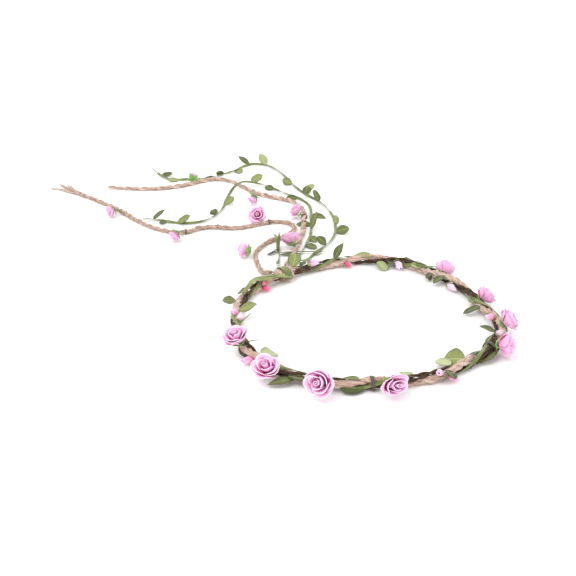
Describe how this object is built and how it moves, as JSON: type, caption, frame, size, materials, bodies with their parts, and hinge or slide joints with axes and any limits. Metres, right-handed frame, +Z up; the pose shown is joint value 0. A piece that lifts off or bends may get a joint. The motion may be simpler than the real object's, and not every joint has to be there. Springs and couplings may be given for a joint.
{
  "type": "flower crown",
  "caption": "Head wreath of twisted brown vine, jute rope and leaf ribbon with foam roses and buds, knotted at the back, with long loose flowered tails.",
  "frame": {"origin": "bottom centre of the ring with its roses and leaves, on the table it lies on", "axes": "+Z up through the head opening, +Y towards the knot and the tails, +X to the wearer's left when the knot is at the back of the head"},
  "size_m": [0.238, 0.5082, 0.0237],
  "materials": {
    "jute": "plied natural fibre, dry and slightly hairy",
    "brown_vine": "dark brown twisted bark-like vine, dull",
    "leaf_green": "woven green ribbon and sewn fabric leaves, faint satin sheen",
    "calyx_green": "bright green fabric calyx",
    "foam_pink": "soft matt foam petals, pale rims and deep pink recesses",
    "bud_pink": "soft matt pink petals",
    "bud_hot": "soft matt hot pink petals",
    "bud_pale": "soft matt pale pink petals",
    "core_wire": "thin drawn wire"
  },
  "bodies": {
    "root": {"brown_vine_a": "brown_vine", "brown_vine_b": "brown_vine", "frame_wire": "core_wire", "hot_bud_back": "bud_hot", "hot_bud_front_left": "bud_pink", "hot_bud_lower": "bud_hot", "hot_bud_upper": "bud_hot", "jute_ring_strand": "jute", "jute_tail_blunt": "jute", "jute_tail_frayed": "jute", "knot_jute_turns": "jute", "knot_ribbon_turn": "leaf_green", "leaf_ribbon": "leaf_green", "pale_bud_back": "bud_pale", "pale_bud_right": "bud_pale", "pink_bud_back": "bud_pink", "pink_bud_front": "bud_pink", "pink_bud_left_a": "bud_pink", "pink_bud_left_b": "bud_pale", "pink_bud_right": "bud_pink", "pink_flower_front": "bud_pink", "ribbon_tail_long": "leaf_green", "ribbon_tail_middle": "leaf_green", "ribbon_tail_short": "leaf_green", "ring_rose_1_bloom": "foam_pink", "ring_rose_1_calyx": "calyx_green", "ring_rose_2_bloom": "foam_pink", "ring_rose_2_calyx": "calyx_green", "ring_rose_3_bloom": "foam_pink", "ring_rose_3_calyx": "calyx_green", "ring_rose_4_bloom": "foam_pink", "ring_rose_4_calyx": "calyx_green", "ring_rose_5_bloom": "foam_pink", "ring_rose_5_calyx": "calyx_green", "ring_rose_6_bloom": "foam_pink", "ring_rose_6_calyx": "calyx_green", "ring_rose_7_bloom": "foam_pink", "ring_rose_7_calyx": "calyx_green", "ring_rose_8_bloom": "foam_pink", "ring_rose_8_calyx": "calyx_green", "tail_rose_1_bloom": "foam_pink", "tail_rose_1_calyx": "calyx_green", "tail_rose_2_bloom": "foam_pink", "tail_rose_2_calyx": "calyx_green", "tail_rose_3_bloom": "foam_pink", "tail_rose_3_calyx": "calyx_green", "tail_rose_4_bloom": "foam_pink", "tail_rose_4_calyx": "calyx_green", "tail_rose_5_bloom": "foam_pink", "tail_rose_5_calyx": "calyx_green", "tail_rose_6_bloom": "foam_pink", "tail_rose_6_calyx": "calyx_green", "tail_rose_7_bloom": "foam_pink", "tail_rose_7_calyx": "calyx_green", "tail_rose_8_bloom": "foam_pink", "tail_rose_8_calyx": "calyx_green", "white_bud_right": "bud_pale"}
  },
  "joints": []
}
